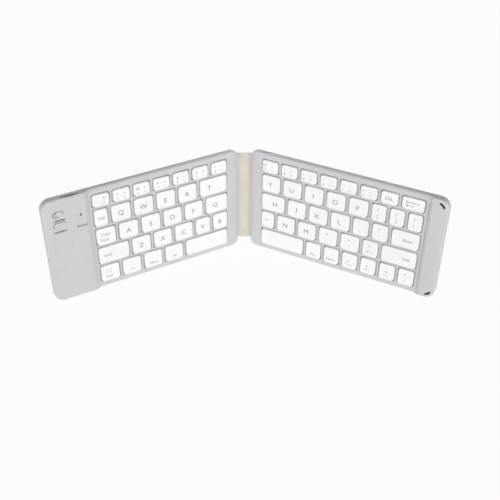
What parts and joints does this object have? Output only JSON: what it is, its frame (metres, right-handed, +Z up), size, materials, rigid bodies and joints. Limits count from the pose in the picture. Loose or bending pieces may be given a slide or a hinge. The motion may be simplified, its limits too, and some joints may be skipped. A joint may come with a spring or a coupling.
{
  "type": "folding keyboard",
  "caption": "Slim silver keyboard in two halves that fold shut like a book on a leather spine, with white keys, a slide switch and a button.",
  "frame": {"origin": "middle of the footprint on the surface that the open keyboard stands on, with the two halves opened like a book", "axes": "+X towards the right half, +Y from the keys' side to the back of the spine, +Z up along the fold, from the space keys to the number keys"},
  "size_m": [0.296, 0.0784, 0.0912],
  "materials": {
    "case_silver": "satin silver paint",
    "key_white": "smooth matt white with printed signs",
    "hinge_leather": "thin cream leather, fine grain",
    "bumper_rubber": "matt black",
    "dome_rubber": "soft silicone",
    "scissor_plastic": "moulded",
    "steel_plate": "plain sheet",
    "membrane_film": "printed film",
    "circuit_board": "solder mask",
    "battery_pouch": "foil pouch",
    "socket_shell": "plated shell",
    "light_guide": "dark clear window, unlit",
    "ribbon_film": "amber film"
  },
  "bodies": {
    "spine": {"spine": "hinge_leather", "flex_cable": "ribbon_film"},
    "left_half": {"left_bottom_cover": "case_silver", "left_top_frame": "case_silver", "left_base_plate": "steel_plate", "left_membrane": "membrane_film", "left_domes": "dome_rubber", "left_scissors": "scissor_plastic", "battery": "battery_pouch", "main_board": "circuit_board", "usb_socket": "socket_shell", "status_led": "light_guide", "left_leather": "hinge_leather"},
    "right_half": {"right_bottom_cover": "case_silver", "right_top_frame": "case_silver", "right_base_plate": "steel_plate", "right_membrane": "membrane_film", "right_domes": "dome_rubber", "right_scissors": "scissor_plastic", "bumper_pads": "bumper_rubber", "right_leather": "hinge_leather"},
    "power_switch": {"power_switch": "case_silver"},
    "connect_button": {"connect_button": "case_silver"},
    "left_number_keys": {"left_number_keys": "key_white"},
    "left_side_keys": {"left_side_keys": "key_white"},
    "left_shift": {"left_shift": "key_white"},
    "left_space": {"left_space": "key_white"},
    "key_q": {"key_q": "key_white"},
    "key_w": {"key_w": "key_white"},
    "key_e": {"key_e": "key_white"},
    "key_r": {"key_r": "key_white"},
    "key_t": {"key_t": "key_white"},
    "key_a": {"key_a": "key_white"},
    "key_s": {"key_s": "key_white"},
    "key_d": {"key_d": "key_white"},
    "key_f": {"key_f": "key_white"},
    "key_g": {"key_g": "key_white"},
    "key_z": {"key_z": "key_white"},
    "key_x": {"key_x": "key_white"},
    "key_c": {"key_c": "key_white"},
    "key_v": {"key_v": "key_white"},
    "key_b": {"key_b": "key_white"},
    "right_number_keys": {"right_number_keys": "key_white"},
    "right_symbol_keys": {"right_symbol_keys": "key_white"},
    "right_side_keys": {"right_side_keys": "key_white"},
    "key_backspace": {"key_backspace": "key_white"},
    "key_enter": {"key_enter": "key_white"},
    "right_shift": {"right_shift": "key_white"},
    "right_space": {"right_space": "key_white"},
    "key_y": {"key_y": "key_white"},
    "key_u": {"key_u": "key_white"},
    "key_i": {"key_i": "key_white"},
    "key_o": {"key_o": "key_white"},
    "key_p": {"key_p": "key_white"},
    "key_h": {"key_h": "key_white"},
    "key_j": {"key_j": "key_white"},
    "key_k": {"key_k": "key_white"},
    "key_l": {"key_l": "key_white"},
    "key_n": {"key_n": "key_white"},
    "key_m": {"key_m": "key_white"}
  },
  "joints": [
    {"name": "left_fold", "type": "hinge", "parent": "spine", "child": "left_half", "pos_m": [-0.0064, 0.0388, 0.0456], "axis": [0, 0, 1], "range_deg": [-27.2, 62.8]},
    {"name": "right_fold", "type": "hinge", "parent": "spine", "child": "right_half", "pos_m": [0.0064, 0.0388, 0.0456], "axis": [0, 0, -1], "range_deg": [-27.2, 62.8]},
    {"name": "power_switch_slide", "type": "slide", "parent": "left_half", "child": "power_switch", "axis": [-0.8894, -0.4571, 0], "range_m": [0, 0.0024]},
    {"name": "connect_button_push", "type": "slide", "parent": "left_half", "child": "connect_button", "axis": [-0.4571, 0.8894, 0], "range_m": [0, 0.0004], "stiffness_N_per_m": 800, "springref_m": -0.0004},
    {"name": "left_number_keys_press", "type": "slide", "parent": "left_half", "child": "left_number_keys", "axis": [-0.4571, 0.8894, 0], "range_m": [0, 0.0011], "stiffness_N_per_m": 300, "springref_m": -0.0006, "deforming": ["left_domes", "left_scissors"]},
    {"name": "left_side_keys_press", "type": "slide", "parent": "left_half", "child": "left_side_keys", "axis": [-0.4571, 0.8894, 0], "range_m": [0, 0.0011], "stiffness_N_per_m": 300, "springref_m": -0.0006, "deforming": ["left_domes", "left_scissors"]},
    {"name": "left_shift_press", "type": "slide", "parent": "left_half", "child": "left_shift", "axis": [-0.4571, 0.8894, 0], "range_m": [0, 0.0011], "stiffness_N_per_m": 300, "springref_m": -0.0006, "deforming": ["left_domes", "left_scissors"]},
    {"name": "left_space_press", "type": "slide", "parent": "left_half", "child": "left_space", "axis": [-0.4571, 0.8894, 0], "range_m": [0, 0.0011], "stiffness_N_per_m": 300, "springref_m": -0.0006, "deforming": ["left_domes", "left_scissors"]},
    {"name": "key_q_press", "type": "slide", "parent": "left_half", "child": "key_q", "axis": [-0.4571, 0.8894, 0], "range_m": [0, 0.0011], "stiffness_N_per_m": 300, "springref_m": -0.0006, "deforming": ["left_domes", "left_scissors"]},
    {"name": "key_w_press", "type": "slide", "parent": "left_half", "child": "key_w", "axis": [-0.4571, 0.8894, 0], "range_m": [0, 0.0011], "stiffness_N_per_m": 300, "springref_m": -0.0006, "deforming": ["left_domes", "left_scissors"]},
    {"name": "key_e_press", "type": "slide", "parent": "left_half", "child": "key_e", "axis": [-0.4571, 0.8894, 0], "range_m": [0, 0.0011], "stiffness_N_per_m": 300, "springref_m": -0.0006, "deforming": ["left_domes", "left_scissors"]},
    {"name": "key_r_press", "type": "slide", "parent": "left_half", "child": "key_r", "axis": [-0.4571, 0.8894, 0], "range_m": [0, 0.0011], "stiffness_N_per_m": 300, "springref_m": -0.0006, "deforming": ["left_domes", "left_scissors"]},
    {"name": "key_t_press", "type": "slide", "parent": "left_half", "child": "key_t", "axis": [-0.4571, 0.8894, 0], "range_m": [0, 0.0011], "stiffness_N_per_m": 300, "springref_m": -0.0006, "deforming": ["left_domes", "left_scissors"]},
    {"name": "key_a_press", "type": "slide", "parent": "left_half", "child": "key_a", "axis": [-0.4571, 0.8894, 0], "range_m": [0, 0.0011], "stiffness_N_per_m": 300, "springref_m": -0.0006, "deforming": ["left_domes", "left_scissors"]},
    {"name": "key_s_press", "type": "slide", "parent": "left_half", "child": "key_s", "axis": [-0.4571, 0.8894, 0], "range_m": [0, 0.0011], "stiffness_N_per_m": 300, "springref_m": -0.0006, "deforming": ["left_domes", "left_scissors"]},
    {"name": "key_d_press", "type": "slide", "parent": "left_half", "child": "key_d", "axis": [-0.4571, 0.8894, 0], "range_m": [0, 0.0011], "stiffness_N_per_m": 300, "springref_m": -0.0006, "deforming": ["left_domes", "left_scissors"]},
    {"name": "key_f_press", "type": "slide", "parent": "left_half", "child": "key_f", "axis": [-0.4571, 0.8894, 0], "range_m": [0, 0.0011], "stiffness_N_per_m": 300, "springref_m": -0.0006, "deforming": ["left_domes", "left_scissors"]},
    {"name": "key_g_press", "type": "slide", "parent": "left_half", "child": "key_g", "axis": [-0.4571, 0.8894, 0], "range_m": [0, 0.0011], "stiffness_N_per_m": 300, "springref_m": -0.0006, "deforming": ["left_domes", "left_scissors"]},
    {"name": "key_z_press", "type": "slide", "parent": "left_half", "child": "key_z", "axis": [-0.4571, 0.8894, 0], "range_m": [0, 0.0011], "stiffness_N_per_m": 300, "springref_m": -0.0006, "deforming": ["left_domes", "left_scissors"]},
    {"name": "key_x_press", "type": "slide", "parent": "left_half", "child": "key_x", "axis": [-0.4571, 0.8894, 0], "range_m": [0, 0.0011], "stiffness_N_per_m": 300, "springref_m": -0.0006, "deforming": ["left_domes", "left_scissors"]},
    {"name": "key_c_press", "type": "slide", "parent": "left_half", "child": "key_c", "axis": [-0.4571, 0.8894, 0], "range_m": [0, 0.0011], "stiffness_N_per_m": 300, "springref_m": -0.0006, "deforming": ["left_domes", "left_scissors"]},
    {"name": "key_v_press", "type": "slide", "parent": "left_half", "child": "key_v", "axis": [-0.4571, 0.8894, 0], "range_m": [0, 0.0011], "stiffness_N_per_m": 300, "springref_m": -0.0006, "deforming": ["left_domes", "left_scissors"]},
    {"name": "key_b_press", "type": "slide", "parent": "left_half", "child": "key_b", "axis": [-0.4571, 0.8894, 0], "range_m": [0, 0.0011], "stiffness_N_per_m": 300, "springref_m": -0.0006, "deforming": ["left_domes", "left_scissors"]},
    {"name": "right_number_keys_press", "type": "slide", "parent": "right_half", "child": "right_number_keys", "axis": [0.4571, 0.8894, 0], "range_m": [0, 0.0011], "stiffness_N_per_m": 300, "springref_m": -0.0006, "deforming": ["right_domes", "right_scissors"]},
    {"name": "right_symbol_keys_press", "type": "slide", "parent": "right_half", "child": "right_symbol_keys", "axis": [0.4571, 0.8894, 0], "range_m": [0, 0.0011], "stiffness_N_per_m": 300, "springref_m": -0.0006, "deforming": ["right_domes", "right_scissors"]},
    {"name": "right_side_keys_press", "type": "slide", "parent": "right_half", "child": "right_side_keys", "axis": [0.4571, 0.8894, 0], "range_m": [0, 0.0011], "stiffness_N_per_m": 300, "springref_m": -0.0006, "deforming": ["right_domes", "right_scissors"]},
    {"name": "key_backspace_press", "type": "slide", "parent": "right_half", "child": "key_backspace", "axis": [0.4571, 0.8894, 0], "range_m": [0, 0.0011], "stiffness_N_per_m": 300, "springref_m": -0.0006, "deforming": ["right_domes", "right_scissors"]},
    {"name": "key_enter_press", "type": "slide", "parent": "right_half", "child": "key_enter", "axis": [0.4571, 0.8894, 0], "range_m": [0, 0.0011], "stiffness_N_per_m": 300, "springref_m": -0.0006, "deforming": ["right_domes", "right_scissors"]},
    {"name": "right_shift_press", "type": "slide", "parent": "right_half", "child": "right_shift", "axis": [0.4571, 0.8894, 0], "range_m": [0, 0.0011], "stiffness_N_per_m": 300, "springref_m": -0.0006, "deforming": ["right_domes", "right_scissors"]},
    {"name": "right_space_press", "type": "slide", "parent": "right_half", "child": "right_space", "axis": [0.4571, 0.8894, 0], "range_m": [0, 0.0011], "stiffness_N_per_m": 300, "springref_m": -0.0006, "deforming": ["right_domes", "right_scissors"]},
    {"name": "key_y_press", "type": "slide", "parent": "right_half", "child": "key_y", "axis": [0.4571, 0.8894, 0], "range_m": [0, 0.0011], "stiffness_N_per_m": 300, "springref_m": -0.0006, "deforming": ["right_domes", "right_scissors"]},
    {"name": "key_u_press", "type": "slide", "parent": "right_half", "child": "key_u", "axis": [0.4571, 0.8894, 0], "range_m": [0, 0.0011], "stiffness_N_per_m": 300, "springref_m": -0.0006, "deforming": ["right_domes", "right_scissors"]},
    {"name": "key_i_press", "type": "slide", "parent": "right_half", "child": "key_i", "axis": [0.4571, 0.8894, 0], "range_m": [0, 0.0011], "stiffness_N_per_m": 300, "springref_m": -0.0006, "deforming": ["right_domes", "right_scissors"]},
    {"name": "key_o_press", "type": "slide", "parent": "right_half", "child": "key_o", "axis": [0.4571, 0.8894, 0], "range_m": [0, 0.0011], "stiffness_N_per_m": 300, "springref_m": -0.0006, "deforming": ["right_domes", "right_scissors"]},
    {"name": "key_p_press", "type": "slide", "parent": "right_half", "child": "key_p", "axis": [0.4571, 0.8894, 0], "range_m": [0, 0.0011], "stiffness_N_per_m": 300, "springref_m": -0.0006, "deforming": ["right_domes", "right_scissors"]},
    {"name": "key_h_press", "type": "slide", "parent": "right_half", "child": "key_h", "axis": [0.4571, 0.8894, 0], "range_m": [0, 0.0011], "stiffness_N_per_m": 300, "springref_m": -0.0006, "deforming": ["right_domes", "right_scissors"]},
    {"name": "key_j_press", "type": "slide", "parent": "right_half", "child": "key_j", "axis": [0.4571, 0.8894, 0], "range_m": [0, 0.0011], "stiffness_N_per_m": 300, "springref_m": -0.0006, "deforming": ["right_domes", "right_scissors"]},
    {"name": "key_k_press", "type": "slide", "parent": "right_half", "child": "key_k", "axis": [0.4571, 0.8894, 0], "range_m": [0, 0.0011], "stiffness_N_per_m": 300, "springref_m": -0.0006, "deforming": ["right_domes", "right_scissors"]},
    {"name": "key_l_press", "type": "slide", "parent": "right_half", "child": "key_l", "axis": [0.4571, 0.8894, 0], "range_m": [0, 0.0011], "stiffness_N_per_m": 300, "springref_m": -0.0006, "deforming": ["right_domes", "right_scissors"]},
    {"name": "key_n_press", "type": "slide", "parent": "right_half", "child": "key_n", "axis": [0.4571, 0.8894, 0], "range_m": [0, 0.0011], "stiffness_N_per_m": 300, "springref_m": -0.0006, "deforming": ["right_domes", "right_scissors"]},
    {"name": "key_m_press", "type": "slide", "parent": "right_half", "child": "key_m", "axis": [0.4571, 0.8894, 0], "range_m": [0, 0.0011], "stiffness_N_per_m": 300, "springref_m": -0.0006, "deforming": ["right_domes", "right_scissors"]}
  ],
  "couplings": [
    {"joint": "right_fold", "follows": "left_fold", "ratio": 1}
  ]
}
